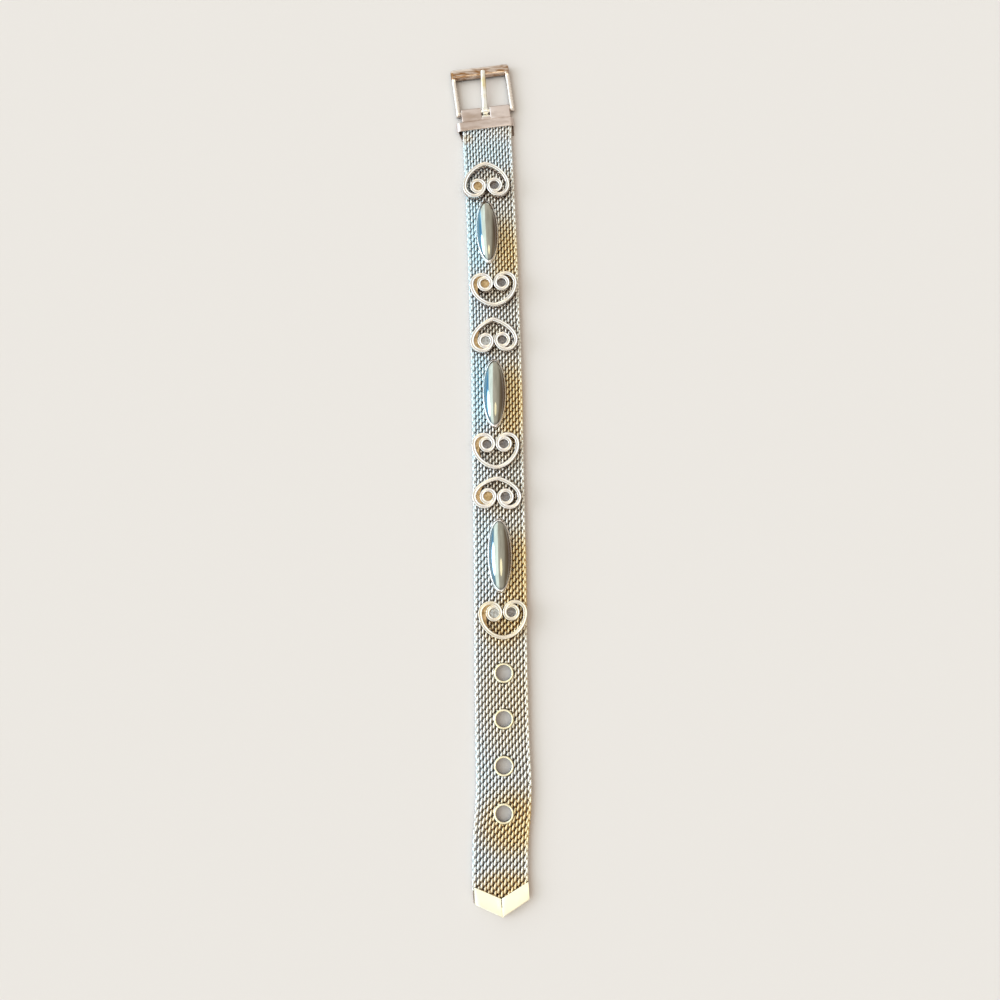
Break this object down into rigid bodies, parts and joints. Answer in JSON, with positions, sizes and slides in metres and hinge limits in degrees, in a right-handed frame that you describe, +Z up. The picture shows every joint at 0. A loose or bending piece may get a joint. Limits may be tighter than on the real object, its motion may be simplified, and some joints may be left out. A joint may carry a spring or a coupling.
{
  "type": "mesh bracelet",
  "caption": "Woven wire strap bracelet lying open, with a pin buckle, folded sheet tip, rimmed eyelets, long oval dark cabochons and scrolled wire hearts.",
  "frame": {"origin": "middle of the bracelet's length and width, on the surface that it lies on", "axes": "+X across the strap, +Y along it towards the buckle, +Z up through its front face"},
  "size_m": [0.0224, 0.2306, 0.0044],
  "materials": {
    "woven_silver_wire": "fine flattened wire coils woven together, bright on top and dark between",
    "satin_silver_sheet": "satin plated sheet with fine scratches and softened folds",
    "buckle_silver": "worn plated metal, warm and finely scratched",
    "bright_silver": "polished silver plate",
    "dark_polished_stone": "dark grey stone with a metallic polish"
  },
  "bodies": {
    "band": {"strap": "woven_silver_wire", "strap_tip": "satin_silver_sheet", "end_clamp": "satin_silver_sheet", "pivot_bar": "bright_silver", "eyelet_1": "bright_silver", "eyelet_2": "bright_silver", "eyelet_3": "bright_silver", "eyelet_4": "bright_silver", "bezel_1": "bright_silver", "bezel_2": "bright_silver", "bezel_3": "bright_silver", "cabochon_1": "dark_polished_stone", "cabochon_2": "dark_polished_stone", "cabochon_3": "dark_polished_stone", "heart_1": "bright_silver", "heart_2": "bright_silver", "heart_3": "bright_silver", "heart_4": "bright_silver", "heart_5": "bright_silver", "heart_6": "bright_silver"},
    "frame": {"buckle_frame": "buckle_silver"},
    "tongue": {"tongue": "bright_silver"}
  },
  "joints": [
    {"name": "frame_hinge", "type": "hinge", "parent": "band", "child": "frame", "pos_m": [-0.00156, 0.10115, 0.00105], "axis": [0.9912, 0.1323, 0], "range_deg": [-75, 75]},
    {"name": "tongue_hinge", "type": "hinge", "parent": "frame", "child": "tongue", "pos_m": [-0.00156, 0.10115, 0.00105], "axis": [0.9912, 0.1323, 0], "range_deg": [0, 60]}
  ]
}
